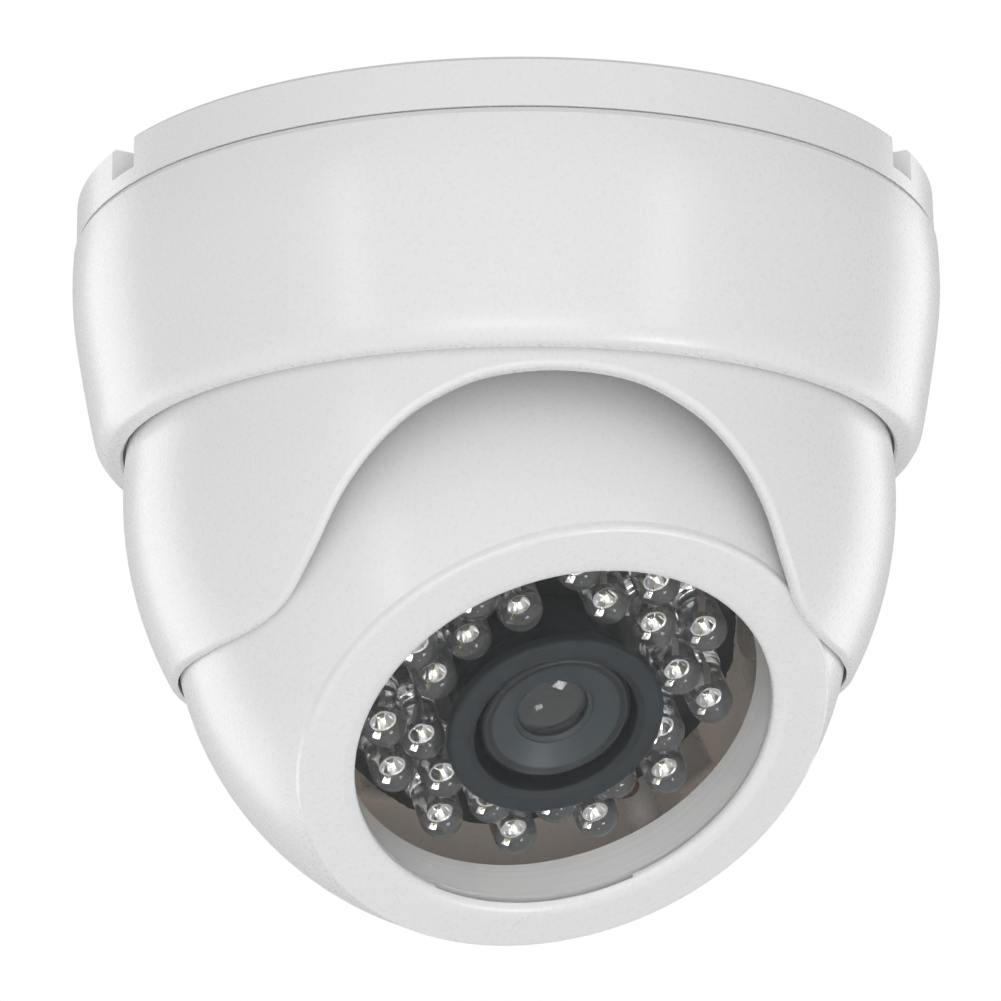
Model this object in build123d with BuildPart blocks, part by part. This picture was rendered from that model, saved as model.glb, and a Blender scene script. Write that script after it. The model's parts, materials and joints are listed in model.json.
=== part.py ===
from build123d import *
import os
from math import cos, radians, sin, sqrt

# Indoor infrared dome camera hanging from a ceiling.
# Origin: centre of the face that lies against the ceiling. +Z is up, -Y is the front. Millimetres.

os.makedirs("parts", exist_ok=True)

# ---- Driving dimensions --------------------------------------------------------------------
# Mounting base
base_r = 46.6
base_h = 5.2
floor_t = 2.0
spigot_out_r = 43.0
spigot_in_r = 41.6
spigot_low = -22.6
shoulder_r = 38.8
shoulder_low = -6.0
notch_w = 5.0
notch_depth = 3.55
notch_in_r = 43.6
screw_hole_r = 2.25
screw_circle_r = 29.0
cable_hole_r = 9.0
grommet_bore_r = 6.0
tab_angle = 14.0
tab_out_r = 44.2

# Collar
collar_top = -5.35
collar_low = -28.2
collar_max_r = 46.98
collar_in_r = 43.4
collar_lip_r = 41.35
collar_lip_top = -26.1
groove_r = 44.6
unlock_angle = 13.0

# Dome shell
shell_r = 41.26
shell_z = -32.24
shell_in_r = 39.7
shell_low = -52.4
shell_neck_out_r = 40.6
shell_neck_in_r = 39.0
shell_neck_top = -16.0
flange_r = 42.85
flange_top = -24.35
flange_low = -26.0
scoop_turn = 5.0

# Pan ring and yoke
ring_in_r = 33.9
ring_out_r = 38.5
ring_top = -3.25
ring_low = -5.9
arm_in = 33.8
arm_t = 1.6
arm_w = 10.0
clamp_in_r = 37.1
clamp_out_r = 41.4
clamp_top = -6.05
clamp_t = 1.5
clamp_screw_circle_r = 40.0

# Eyeball
ball_r = 36.0
ball_in_r = 34.2
ball_z = -43.6
ball_gap = 0.35
eye_turn = 19.8
eye_down = 51.3
bezel_h = 23.4
bezel_hole_r = 22.0
lip_t = 1.1
split_h = -8.0
back_h = -24.0
pocket_floor = 33.4
pivot_r = 1.5

# Window, boards and lamps, heights measured from the ball centre along the optical axis
window_top = 22.25
window_t = 0.9
window_r = 23.2
window_ring_low = 16.4
board_r = 22.2
ir_board_top = 9.9
ir_board_t = 1.2
led_r = 2.35
led_h = 8.6
outer_led_circle_r = 17.6
inner_led_circle_r = 13.7
outer_led_angles = [-166, -145, -115, -85.5, -56, -27, 6, 39, 68, 98, 134, 160]
inner_led_angles = [22.5, 54, 82, 121, 146, 170, -156, -130, -101, -71, -42, -10.5]
sensor_board_top = 2.2
sensor_board_t = 1.6
sensor_board_w = 40.0
post_pitch = 35.0
post_r = 2.0

# Lens
thread_r = 6.0
thread_bore_r = 6.05
holder_r = 7.2
holder_top = 15.3
lens_rim_h = 18.8
lens_face_h = 18.45
lens_lip_r = 6.75
lens_head_r = 8.05
lens_head_low = 16.4
lens_bore_r = 4.4
lens_glass_r = 4.05
stop_r = 1.3
hood_front = 20.35
hood_back = 18.75
hood_out_r = 11.45
hood_flat_in_r = 9.25
hood_in_r = 8.6

# ---- Shared frames ------------------------------------------------------------------------
ball_centre = Vector(0, 0, ball_z)
side_dir = Vector(cos(radians(eye_turn)), sin(radians(eye_turn)), 0)
look_dir = Vector(
    sin(radians(eye_turn)) * cos(radians(eye_down)),
    -cos(radians(eye_turn)) * cos(radians(eye_down)),
    -sin(radians(eye_down)),
)
eye_plane = Plane(origin=ball_centre, x_dir=side_dir, z_dir=look_dir)
section_dir = side_dir * cos(radians(70)) + look_dir.cross(side_dir) * sin(radians(70))
eye_section = Plane(origin=ball_centre, x_dir=section_dir, z_dir=section_dir.cross(look_dir))
eye_axis = Axis(ball_centre, look_dir)
scoop_dir = Vector(sin(radians(scoop_turn)), -cos(radians(scoop_turn)), 0)
scoop_side = Vector(cos(radians(scoop_turn)), sin(radians(scoop_turn)), 0)
scoop_plane = Plane(origin=(0, 0, 0), x_dir=scoop_side, z_dir=scoop_dir)


def sphere_radius_at(radius, height):
    return sqrt(radius * radius - height * height)


def polar(radius, angle):
    return (radius * cos(radians(angle)), radius * sin(radians(angle)))


def ring_sector(inner_r, outer_r, start, sweep):
    # Flat annular sector on the active sketch, angles from the local X axis.
    steps = 8
    outer = [polar(outer_r, start + sweep * i / steps) for i in range(steps + 1)]
    inner = [polar(inner_r, start + sweep * i / steps) for i in range(steps, -1, -1)]
    Polygon(*outer, *inner, align=None)


def save(builder, name):
    builder.part.label = name
    export_step(builder.part, "parts/" + name + ".step")


# ---- Mounting base ------------------------------------------------------------------------
with BuildPart() as mounting_base:
    with BuildSketch(Plane.XZ):
        Polygon(
            (0, 0),
            (base_r, 0),
            (base_r, -base_h),
            (spigot_out_r, -base_h),
            (spigot_out_r, spigot_low),
            (spigot_in_r, spigot_low),
            (spigot_in_r, shoulder_low),
            (shoulder_r, shoulder_low),
            (shoulder_r, -floor_t),
            (0, -floor_t),
            align=None,
        )
    revolve(axis=Axis.Z)
    # Raised rings round the three ceiling screw holes
    with BuildSketch(Plane.XY.offset(-floor_t)):
        with PolarLocations(screw_circle_r, 3, start_angle=30):
            Circle(5)
    extrude(amount=-1)
    # Bayonet tabs that hold the collar
    with BuildSketch(Plane.XY.offset(-9.4)):
        for turn in (-90, 30, 150):
            ring_sector(spigot_out_r - 0.5, tab_out_r, turn - tab_angle / 2, tab_angle)
    extrude(amount=1.4)
    # Ceiling screw holes
    with BuildSketch(Plane.XY.offset(0.5)):
        with PolarLocations(screw_circle_r, 3, start_angle=30):
            Circle(screw_hole_r)
    extrude(amount=-5, mode=Mode.SUBTRACT)
    # Central cable outlet with a step for the grommet flange
    with BuildSketch(Plane.XY.offset(0.5)):
        Circle(cable_hole_r)
    extrude(amount=-4, mode=Mode.SUBTRACT)
    with BuildSketch(Plane.XY):
        Circle(11)
    extrude(amount=-0.8, mode=Mode.SUBTRACT)
    # Three open notches in the rim, against the ceiling
    with BuildSketch(Plane.XY):
        with PolarLocations((notch_in_r + base_r + 2) / 2, 3, start_angle=-30):
            Rectangle(base_r + 2 - notch_in_r, notch_w)
    extrude(amount=-notch_depth, mode=Mode.SUBTRACT)
    # Pilot holes for the clamp ring screws
    with BuildSketch(Plane.XY.offset(shoulder_low)):
        with PolarLocations(clamp_screw_circle_r, 4, start_angle=45):
            Circle(0.87)
    extrude(amount=3.4, mode=Mode.SUBTRACT)
    rim = mounting_base.edges().filter_by(GeomType.CIRCLE).filter_by(
        lambda e: abs(e.radius - base_r) < 0.01 and abs(e.center().Z) < 0.01
    )
    chamfer(rim, 0.4)
save(mounting_base, "mounting_base")

with BuildPart() as cable_grommet:
    with BuildSketch(Plane.XZ):
        Polygon(
            (grommet_bore_r, -0.1),
            (10.8, -0.1),
            (10.8, -0.8),
            (8.95, -0.8),
            (8.95, -2.0),
            (10.8, -2.0),
            (10.4, -3.2),
            (grommet_bore_r, -3.2),
            align=None,
        )
    revolve(axis=Axis.Z)
save(cable_grommet, "cable_grommet")

with BuildPart() as pan_washer:
    with BuildSketch(Plane.XY.offset(-floor_t)):
        Circle(38.3)
        Circle(34.4, mode=Mode.SUBTRACT)
    extrude(amount=-1.2)
save(pan_washer, "pan_washer")

with BuildPart() as clamp_ring:
    with BuildSketch(Plane.XY.offset(clamp_top)):
        Circle(clamp_out_r)
        Circle(clamp_in_r, mode=Mode.SUBTRACT)
        with PolarLocations(clamp_screw_circle_r, 4, start_angle=45):
            Circle(1.05, mode=Mode.SUBTRACT)
    extrude(amount=-clamp_t)
save(clamp_ring, "clamp_ring")

with BuildPart() as clamp_screws:
    head_z = clamp_top - clamp_t
    with BuildSketch(Plane.XY.offset(head_z)):
        with PolarLocations(clamp_screw_circle_r, 4, start_angle=45):
            Circle(1.5)
    extrude(amount=-1.2)
    with BuildSketch(Plane.XY.offset(head_z)):
        with PolarLocations(clamp_screw_circle_r, 4, start_angle=45):
            Circle(0.85)
    extrude(amount=4.4)
    with BuildSketch(Plane.XY.offset(head_z - 1.2)):
        with PolarLocations(clamp_screw_circle_r, 4, start_angle=45):
            Rectangle(1.6, 0.35)
            Rectangle(0.35, 1.6)
    extrude(amount=0.7, mode=Mode.SUBTRACT)
save(clamp_screws, "clamp_screws")

with BuildPart() as shell_felt_ring:
    with BuildSketch(Plane.XY.offset(spigot_low)):
        Circle(42.85)
        Circle(41.75, mode=Mode.SUBTRACT)
    extrude(amount=-1.7)
save(shell_felt_ring, "shell_felt_ring")

# ---- Collar ------------------------------------------------------------------------------
with BuildPart() as collar:
    with BuildSketch(Plane.XZ) as collar_profile:
        with BuildLine():
            Polyline((collar_in_r, collar_top), (46.5, collar_top), (46.88, collar_top - 0.6))
            Spline(
                (46.88, collar_top - 0.6),
                (collar_max_r, -8.8),
                (46.76, -13.0),
                (46.32, -16.2),
                (45.82, -19.0),
                (45.30, -21.8),
                (44.60, -25.2),
            )
            Spline(
                (44.60, -25.2),
                (44.18, -26.7),
                (43.50, -27.75),
                (42.50, collar_low),
                tangents=((-0.22, -1), (-1, 0)),
            )
            Polyline(
                (42.50, collar_low),
                (collar_lip_r + 0.3, collar_low),
                (collar_lip_r, collar_low + 0.3),
                (collar_lip_r, collar_lip_top),
                (collar_in_r, collar_lip_top),
                (collar_in_r, collar_top),
            )
        make_face()
    revolve(axis=Axis.Z)
    # Bayonet grooves, and the slots by which the tabs enter from the top
    with BuildSketch(Plane.XY.offset(-9.7)):
        for turn in (-90, 30, 150):
            ring_sector(42.5, groove_r, turn - tab_angle / 2 - 1, tab_angle + unlock_angle + 3)
    extrude(amount=2.0, mode=Mode.SUBTRACT)
    with BuildSketch(Plane.XY.offset(-8.0)):
        for turn in (-90, 30, 150):
            ring_sector(42.5, groove_r, turn - tab_angle / 2 + unlock_angle - 1, tab_angle + 3)
    extrude(amount=4.0, mode=Mode.SUBTRACT)
save(collar, "collar")

# ---- Dome shell with its scooped front ------------------------------------------------------
# Half of the bell-shaped scoop: angle round the shell, height
scoop_points = [
    (0.0, -29.9),
    (8.2, -30.4),
    (12.0, -31.05),
    (16.2, -32.3),
    (19.8, -33.65),
    (23.2, -35.4),
    (26.8, -37.7),
    (29.9, -40.05),
    (33.1, -42.8),
    (36.0, -45.4),
    (39.0, -47.5),
    (42.3, -49.4),
    (46.5, -50.8),
    (51.0, -51.6),
    (57.0, -52.1),
    (64.0, -52.32),
    (72.0, -52.75),
]


def scoop_xy(angle, height):
    around = sphere_radius_at(shell_r, height - shell_z)
    return (around * sin(radians(angle)), height)


right_side = [scoop_xy(a, h) for a, h in scoop_points]
left_side = [(-x, h) for x, h in reversed(right_side[1:])]
scoop_curve = left_side + right_side

with BuildPart() as dome_shell:
    neck_z = flange_low
    shell_inner_low = sphere_radius_at(ball_r + ball_gap, shell_low - ball_z)
    with BuildSketch(Plane.XZ):
        with BuildLine():
            Polyline(
                (shell_neck_in_r, -25.9),
                (shell_neck_in_r, shell_neck_top),
                (shell_neck_out_r, shell_neck_top),
                (shell_neck_out_r, flange_top),
                (flange_r, flange_top),
                (flange_r, flange_low),
                (sphere_radius_at(shell_r, neck_z - shell_z), neck_z),
            )
            ThreePointArc(
                (sphere_radius_at(shell_r, neck_z - shell_z), neck_z),
                (sphere_radius_at(shell_r, -40 - shell_z), -40),
                (sphere_radius_at(shell_r, shell_low - shell_z), shell_low),
            )
            Line(
                (sphere_radius_at(shell_r, shell_low - shell_z), shell_low),
                (shell_inner_low, shell_low),
            )
            ThreePointArc(
                (shell_inner_low, shell_low),
                (sphere_radius_at(ball_r + ball_gap, -50.5 - ball_z), -50.5),
                (sphere_radius_at(ball_r + ball_gap, -48.9 - ball_z), -48.9),
            )
            Line(
                (sphere_radius_at(ball_r + ball_gap, -48.9 - ball_z), -48.9),
                (sphere_radius_at(shell_in_r, -48.7 - shell_z), -48.7),
            )
            ThreePointArc(
                (sphere_radius_at(shell_in_r, -48.7 - shell_z), -48.7),
                (sphere_radius_at(shell_in_r, -38 - shell_z), -38),
                (shell_neck_in_r, -25.9),
            )
        make_face()
    revolve(axis=Axis.Z)
    with BuildSketch(scoop_plane):
        with BuildLine():
            Spline(*scoop_curve)
            Polyline(scoop_curve[-1], (scoop_curve[-1][0], -56), (scoop_curve[0][0], -56), scoop_curve[0])
        make_face()
    extrude(amount=50, mode=Mode.SUBTRACT)
    # Soft outer edge all round the scoop and the lower rim
    shell_centre = Vector(0, 0, shell_z)
    soft_edges = dome_shell.edges().filter_by(
        lambda e: abs((e @ 0.5 - shell_centre).length - shell_r) < 0.05 and (e @ 0.5).Z < -29
    )
    fillet(soft_edges, 0.6)
save(dome_shell, "dome_shell")

# ---- Pan ring with the two yoke arms ---------------------------------------------------------
with BuildPart() as pan_yoke:
    with BuildSketch(Plane.XY.offset(ring_top)):
        Circle(ring_out_r)
        Circle(ring_in_r, mode=Mode.SUBTRACT)
    extrude(amount=ring_low - ring_top)
    for arm_side in (1, -1):
        arm_face = Plane(
            origin=ball_centre + side_dir * arm_side * arm_in, x_dir=Vector(0, 0, 1), z_dir=side_dir * arm_side
        )
        with BuildSketch(arm_face):
            Circle(arm_w / 2)
            with Locations(((ring_top - ball_z) / 2, 0)):
                Rectangle(ring_top - ball_z, arm_w)
            Circle(pivot_r + 0.05, mode=Mode.SUBTRACT)
        extrude(amount=arm_t)
        # Stiffening rib down the outside of each arm
        with BuildSketch(arm_face.offset(arm_t)):
            with Locations((24, 0)):
                Rectangle(28, 2)
        extrude(amount=0.7)
save(pan_yoke, "pan_yoke")

with BuildPart() as pivot_screws:
    for arm_side in (1, -1):
        screw_face = Plane(
            origin=ball_centre + side_dir * arm_side * (arm_in + arm_t + 0.05),
            x_dir=Vector(0, 0, 1),
            z_dir=side_dir * arm_side,
        )
        with BuildSketch(screw_face):
            Circle(2.8)
        extrude(amount=0.95)
        with BuildSketch(screw_face.offset(0.95)):
            Rectangle(2.6, 0.5)
            Rectangle(0.5, 2.6)
        extrude(amount=-0.5, mode=Mode.SUBTRACT)
        with BuildSketch(screw_face):
            Circle(pivot_r)
        extrude(amount=-(arm_t + 0.4))
        with BuildSketch(screw_face):
            Circle(1.2)
        extrude(amount=-5.6)
save(pivot_screws, "pivot_screws")

with BuildPart() as tilt_washers:
    for arm_side in (1, -1):
        washer_face = Plane(
            origin=ball_centre + side_dir * arm_side * (pocket_floor + 0.02),
            x_dir=Vector(0, 0, 1),
            z_dir=side_dir * arm_side,
        )
        with BuildSketch(washer_face):
            Circle(4.2)
            Circle(1.6, mode=Mode.SUBTRACT)
        extrude(amount=0.33)
save(tilt_washers, "tilt_washers")

# ---- Eyeball: front half with the flat bezel, rear half with the cable opening ------------------
bezel_out_r = sphere_radius_at(ball_r, bezel_h)
tube_low = 16.1
joint_turns = (90, 215, 325)
joint_circle_r = 31.2


def pivot_wall(arm_side):
    # Flat wall inside the ball behind each pivot pocket, with a boss for the pivot screw.
    wall_face = Plane(
        origin=ball_centre + side_dir * arm_side * 31.6, x_dir=look_dir, z_dir=side_dir * arm_side
    )
    with BuildSketch(wall_face) as wall_disc:
        Circle(13.3)
    extrude(wall_disc.sketch, amount=pocket_floor - 31.6)
    with BuildSketch(wall_face) as boss_disc:
        Circle(3.6)
    extrude(boss_disc.sketch, amount=-3.4)


def pivot_pocket(arm_side):
    # Recess that the arm sweeps over when the ball tilts, seen along the tilt axis.
    pocket_face = Plane(
        origin=ball_centre + side_dir * arm_side * pocket_floor, x_dir=look_dir, z_dir=side_dir * arm_side
    )
    half_w = arm_w / 2 + 0.5
    high_end = 90 + 28
    low_end = 180 + 5
    near_a = Vector(*polar(half_w, high_end - 90))
    near_b = Vector(*polar(half_w, low_end + 90))
    corners = [near_a, near_a + Vector(*polar(15, high_end))]
    corners += [Vector(*polar(17, turn)) for turn in (130, 150, 170)]
    corners += [near_b + Vector(*polar(15, low_end)), near_b]
    outline = [(c.X, -arm_side * c.Y) for c in corners]
    if arm_side == 1:
        outline.reverse()
    with BuildSketch(pocket_face) as pocket:
        Circle(half_w)
        Polygon(*outline, align=None)
    extrude(pocket.sketch, amount=4, mode=Mode.SUBTRACT)
    with BuildSketch(pocket_face) as pivot_hole:
        Circle(1.25)
    extrude(pivot_hole.sketch, amount=-6, mode=Mode.SUBTRACT)


with BuildPart() as eye_front:
    with BuildSketch(eye_section):
        with BuildLine():
            ThreePointArc(
                (sphere_radius_at(ball_r, split_h), split_h),
                (sphere_radius_at(ball_r, 8), 8),
                (sphere_radius_at(ball_r, 22.6), 22.6),
            )
            Spline(
                (sphere_radius_at(ball_r, 22.6), 22.6),
                (27.82, 23.12),
                (27.1, bezel_h),
                tangents=((-0.62, 0.78), (-1, 0)),
            )
            Line((27.1, bezel_h), (bezel_hole_r + 1.4, bezel_h))
            Spline(
                (bezel_hole_r + 1.4, bezel_h),
                (bezel_hole_r + 0.41, bezel_h - 0.26),
                (bezel_hole_r, bezel_h - 0.9),
                tangents=((-1, 0), (0, -1)),
            )
            Polyline(
                (bezel_hole_r, bezel_h - 0.9),
                (bezel_hole_r, bezel_h - lip_t),
                (window_r + 0.2, bezel_h - lip_t),
                (window_r + 0.2, tube_low),
                (25.0, tube_low),
                (25.0, 21.2),
                (sphere_radius_at(ball_in_r, 21.2), 21.2),
            )
            ThreePointArc(
                (sphere_radius_at(ball_in_r, 21.2), 21.2),
                (sphere_radius_at(ball_in_r, 8), 8),
                (sphere_radius_at(ball_in_r, split_h), split_h),
            )
            Line(
                (sphere_radius_at(ball_in_r, split_h), split_h),
                (sphere_radius_at(ball_r, split_h), split_h),
            )
        make_face()
    revolve(axis=eye_axis)
    # Four posts for the sensor board
    with BuildSketch(eye_plane.offset(21.6)):
        with GridLocations(post_pitch, post_pitch, 2, 2):
            Circle(post_r)
    extrude(amount=-(21.6 - sensor_board_top))
    # The posts stop short of the window seat
    with BuildSketch(eye_plane.offset(bezel_h - lip_t)):
        Circle(window_r + 0.2)
    extrude(amount=-(bezel_h - lip_t - tube_low), mode=Mode.SUBTRACT)
    # Bosses for the screws that join the two halves
    with BuildSketch(eye_plane.offset(split_h)):
        for turn in joint_turns:
            with Locations(polar(joint_circle_r, turn)):
                Circle(2.9)
    extrude(amount=12)
    pivot_wall(1)
    pivot_wall(-1)
    split(bisect_by=eye_plane.offset(split_h), keep=Keep.TOP)
    pivot_pocket(1)
    pivot_pocket(-1)
    # Pilot holes in the posts and bosses
    with BuildSketch(eye_plane.offset(sensor_board_top)):
        with GridLocations(post_pitch, post_pitch, 2, 2):
            Circle(0.82)
    extrude(amount=6, mode=Mode.SUBTRACT)
    with BuildSketch(eye_plane.offset(split_h)):
        for turn in joint_turns:
            with Locations(polar(joint_circle_r, turn)):
                Circle(0.92)
    extrude(amount=10, mode=Mode.SUBTRACT)
    # Gate relief in the lower part of the window lip
    with BuildSketch(eye_plane.offset(bezel_h - lip_t)):
        ring_sector(bezel_hole_r - 0.5, bezel_hole_r + 0.5, -112, 59)
    extrude(amount=0.45, mode=Mode.SUBTRACT)
    # Small triangle sunk into the bezel, which marks the lower side of the picture
    with BuildSketch(eye_plane.offset(bezel_h)):
        with Locations(Location(polar(24.6, -87), -87)):
            Polygon((-0.95, -1.2), (1.05, 0), (-0.95, 1.2), align=None)
    extrude(amount=-0.12, mode=Mode.SUBTRACT)
save(eye_front, "eye_front")

with BuildPart() as eye_rear:
    rear_top = split_h - 0.1
    with BuildSketch(eye_section):
        with BuildLine():
            ThreePointArc(
                (sphere_radius_at(ball_r, rear_top), rear_top),
                (sphere_radius_at(ball_r, -17), -17),
                (sphere_radius_at(ball_r, back_h), back_h),
            )
            Polyline(
                (sphere_radius_at(ball_r, back_h), back_h),
                (7.5, back_h),
                (7.5, back_h + 1.8),
                (sphere_radius_at(ball_in_r, back_h + 1.8), back_h + 1.8),
            )
            ThreePointArc(
                (sphere_radius_at(ball_in_r, back_h + 1.8), back_h + 1.8),
                (sphere_radius_at(ball_in_r, -15), -15),
                (sphere_radius_at(ball_in_r, rear_top), rear_top),
            )
            Line(
                (sphere_radius_at(ball_in_r, rear_top), rear_top),
                (sphere_radius_at(ball_r, rear_top), rear_top),
            )
        make_face()
    revolve(axis=eye_axis)
    # Bosses for the joining screws, open to the outside for the screw heads
    with BuildSketch(eye_plane.offset(rear_top)):
        for turn in joint_turns:
            with Locations(polar(30.0, turn)):
                Circle(2.9)
    extrude(amount=-5)
    pivot_wall(1)
    pivot_wall(-1)
    split(bisect_by=eye_plane.offset(rear_top), keep=Keep.BOTTOM)
    pivot_pocket(1)
    pivot_pocket(-1)
    with BuildSketch(eye_plane.offset(rear_top + 0.5)):
        for turn in joint_turns:
            with Locations(polar(joint_circle_r, turn)):
                Circle(1.05)
    extrude(amount=-20, mode=Mode.SUBTRACT)
    with BuildSketch(eye_plane.offset(rear_top - 2)):
        for turn in joint_turns:
            with Locations(polar(joint_circle_r, turn)):
                Circle(1.95)
    extrude(amount=-20, mode=Mode.SUBTRACT)
    # Locating tongues that enter the front half
    with BuildSketch(eye_plane.offset(rear_top - 1.5)):
        for turn in (50, 130, 270):
            ring_sector(31.8, 33.05, turn - 12, 24)
    extrude(amount=3.6)
    # Ventilation slots in the back wall
    with BuildSketch(eye_plane.offset(back_h)):
        with PolarLocations(16.5, 8):
            SlotOverall(9, 1.8)
    extrude(amount=2, mode=Mode.SUBTRACT)
save(eye_rear, "eye_rear")

with BuildPart() as eye_screws:
    seat_h = split_h - 0.1 - 2
    with BuildSketch(eye_plane.offset(seat_h)):
        for turn in joint_turns:
            with Locations(polar(joint_circle_r, turn)):
                Circle(1.7)
    extrude(amount=-1.3)
    with BuildSketch(eye_plane.offset(seat_h)):
        for turn in joint_turns:
            with Locations(polar(joint_circle_r, turn)):
                Circle(0.9)
    extrude(amount=10)
    with BuildSketch(eye_plane.offset(seat_h - 1.3)):
        for turn in joint_turns:
            with Locations(polar(joint_circle_r, turn)):
                Rectangle(2.0, 0.4)
                Rectangle(0.4, 2.0)
    extrude(amount=0.7, mode=Mode.SUBTRACT)
save(eye_screws, "eye_screws")

# ---- Window and its retaining ring ---------------------------------------------------------
with BuildPart() as window:
    with BuildSketch(eye_plane.offset(window_top - window_t)):
        Circle(window_r)
    extrude(amount=window_t)
save(window, "window")

with BuildPart() as window_ring:
    with BuildSketch(eye_plane.offset(window_ring_low)):
        Circle(window_r + 0.15)
        Circle(bezel_hole_r + 0.1, mode=Mode.SUBTRACT)
    extrude(amount=window_top - window_t - 0.05 - window_ring_low)
save(window_ring, "window_ring")

# ---- Infrared lamp board -------------------------------------------------------------------
led_places = [polar(outer_led_circle_r, a) for a in outer_led_angles]
led_places += [polar(inner_led_circle_r, a) for a in inner_led_angles]

with BuildPart() as ir_board:
    with BuildSketch(eye_plane.offset(ir_board_top)):
        Circle(board_r)
        # Rounded remains of the panel break-off tabs, and one straight side
        for turn in (-128, -48, 52, 141):
            with Locations(Location(polar(board_r - 0.1, turn), turn)):
                Rectangle(0.9, 3.0)
        with Locations((board_r, 1.2)):
            Rectangle(1.6, 7, mode=Mode.SUBTRACT)
        Circle(holder_r + 0.5, mode=Mode.SUBTRACT)
        with Locations(*led_places):
            Rectangle(0.7, 3.2, mode=Mode.SUBTRACT)
    extrude(amount=-ir_board_t)
save(ir_board, "ir_board")

with BuildPart() as led_lamps:
    with BuildSketch(eye_plane.offset(ir_board_top)):
        with Locations(*led_places):
            Circle(led_r)
    extrude(amount=led_h)
    dome_edges = led_lamps.edges().filter_by(GeomType.CIRCLE).group_by(eye_axis)[-1]
    fillet(dome_edges, led_r - 0.1)
save(led_lamps, "led_lamps")

with BuildPart() as led_leads:
    with BuildSketch(eye_plane.offset(ir_board_top)):
        with Locations(*led_places):
            with GridLocations(0, 2.54, 1, 2):
                Rectangle(0.5, 0.5)
    extrude(amount=-2.8)
save(led_leads, "led_leads")

with BuildPart() as ir_resistors:
    with BuildSketch(eye_plane.offset(ir_board_top - ir_board_t)):
        with PolarLocations(20.6, 6, start_angle=20):
            Rectangle(1.2, 2.2)
    extrude(amount=-0.6)
save(ir_resistors, "ir_resistors")

with BuildPart() as photocell:
    with BuildSketch(eye_plane.offset(ir_board_top)):
        with Locations(polar(20.4, -44.6)):
            Circle(1.5)
    extrude(amount=1.8)
save(photocell, "photocell")

with BuildPart() as board_header:
    with BuildSketch(eye_plane.offset(sensor_board_top)):
        with Locations((-18.9, -0.9)):
            Rectangle(2.0, 6)
    extrude(amount=ir_board_top - ir_board_t - sensor_board_top)
save(board_header, "board_header")

with BuildPart() as board_spacers:
    with BuildSketch(eye_plane.offset(sensor_board_top)):
        with GridLocations(21.6, 0, 2, 1):
            Circle(1.7)
            Circle(0.92, mode=Mode.SUBTRACT)
    extrude(amount=ir_board_top - ir_board_t - sensor_board_top)
save(board_spacers, "board_spacers")

# ---- Sensor board and what sits on it ----------------------------------------------------------
sensor_back = sensor_board_top - sensor_board_t

with BuildPart() as sensor_board:
    with BuildSketch(eye_plane.offset(sensor_board_top)):
        RectangleRounded(sensor_board_w, sensor_board_w, 2)
        with GridLocations(post_pitch, post_pitch, 2, 2):
            Circle(1.1, mode=Mode.SUBTRACT)
        with GridLocations(21.6, 0, 2, 1):
            Circle(1.05, mode=Mode.SUBTRACT)
        with GridLocations(0, 21.0, 1, 2):
            Circle(1.05, mode=Mode.SUBTRACT)
    extrude(amount=-sensor_board_t)
save(sensor_board, "sensor_board")

with BuildPart() as board_screws:
    # Four screws into the posts
    with BuildSketch(eye_plane.offset(sensor_back)):
        with GridLocations(post_pitch, post_pitch, 2, 2):
            Circle(1.9)
    extrude(amount=-1.3)
    with BuildSketch(eye_plane.offset(sensor_back)):
        with GridLocations(post_pitch, post_pitch, 2, 2):
            Circle(0.8)
    extrude(amount=6.5)
    with BuildSketch(eye_plane.offset(sensor_back - 1.3)):
        with GridLocations(post_pitch, post_pitch, 2, 2):
            Rectangle(2.2, 0.45)
            Rectangle(0.45, 2.2)
    extrude(amount=0.7, mode=Mode.SUBTRACT)
save(board_screws, "board_screws")

with BuildPart() as stack_screws:
    # Two screws into the spacers and two into the lens holder
    with BuildSketch(eye_plane.offset(sensor_back)):
        with Locations((10.8, 0), (-10.8, 0), (0, 10.5), (0, -10.5)):
            Circle(1.7)
    extrude(amount=-1.2)
    with BuildSketch(eye_plane.offset(sensor_back)):
        with Locations((10.8, 0), (-10.8, 0), (0, 10.5), (0, -10.5)):
            Circle(0.9)
    extrude(amount=4.4)
save(stack_screws, "stack_screws")

with BuildPart() as image_sensor:
    with BuildSketch(eye_plane.offset(sensor_board_top)):
        RectangleRounded(11, 11, 0.4)
    extrude(amount=1.5)
save(image_sensor, "image_sensor")

with BuildPart() as ir_filter:
    with BuildSketch(eye_plane.offset(4.3)):
        Rectangle(9, 9)
    extrude(amount=0.5)
save(ir_filter, "ir_filter")

with BuildPart() as lens_holder:
    # Square foot with two ears, and the threaded tube above it
    with BuildSketch(eye_plane.offset(sensor_board_top)):
        RectangleRounded(17, 17, 1.5)
    extrude(amount=4.6)
    with BuildSketch(eye_plane.offset(sensor_board_top)):
        SlotCenterToCenter(21.0, 4.4, rotation=90)
    extrude(amount=2.6)
    with BuildSketch(eye_plane.offset(sensor_board_top + 4)):
        Circle(holder_r)
    extrude(amount=holder_top - sensor_board_top - 4)
    with BuildSketch(eye_plane.offset(sensor_board_top)):
        Rectangle(13.4, 13.4)
    extrude(amount=2.6, mode=Mode.SUBTRACT)
    with BuildSketch(eye_plane.offset(sensor_board_top)):
        Circle(thread_bore_r)
    extrude(amount=20, mode=Mode.SUBTRACT)
    with BuildSketch(eye_plane.offset(sensor_board_top)):
        with GridLocations(0, 21.0, 1, 2):
            Circle(0.92)
    extrude(amount=20, mode=Mode.SUBTRACT)
save(lens_holder, "lens_holder")

with BuildPart() as video_chip:
    with BuildSketch(eye_plane.offset(sensor_back)):
        with Locations((5.8, 6.4)):
            RectangleRounded(7.6, 7.6, 0.3)
    extrude(amount=-1.1)
save(video_chip, "video_chip")

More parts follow.
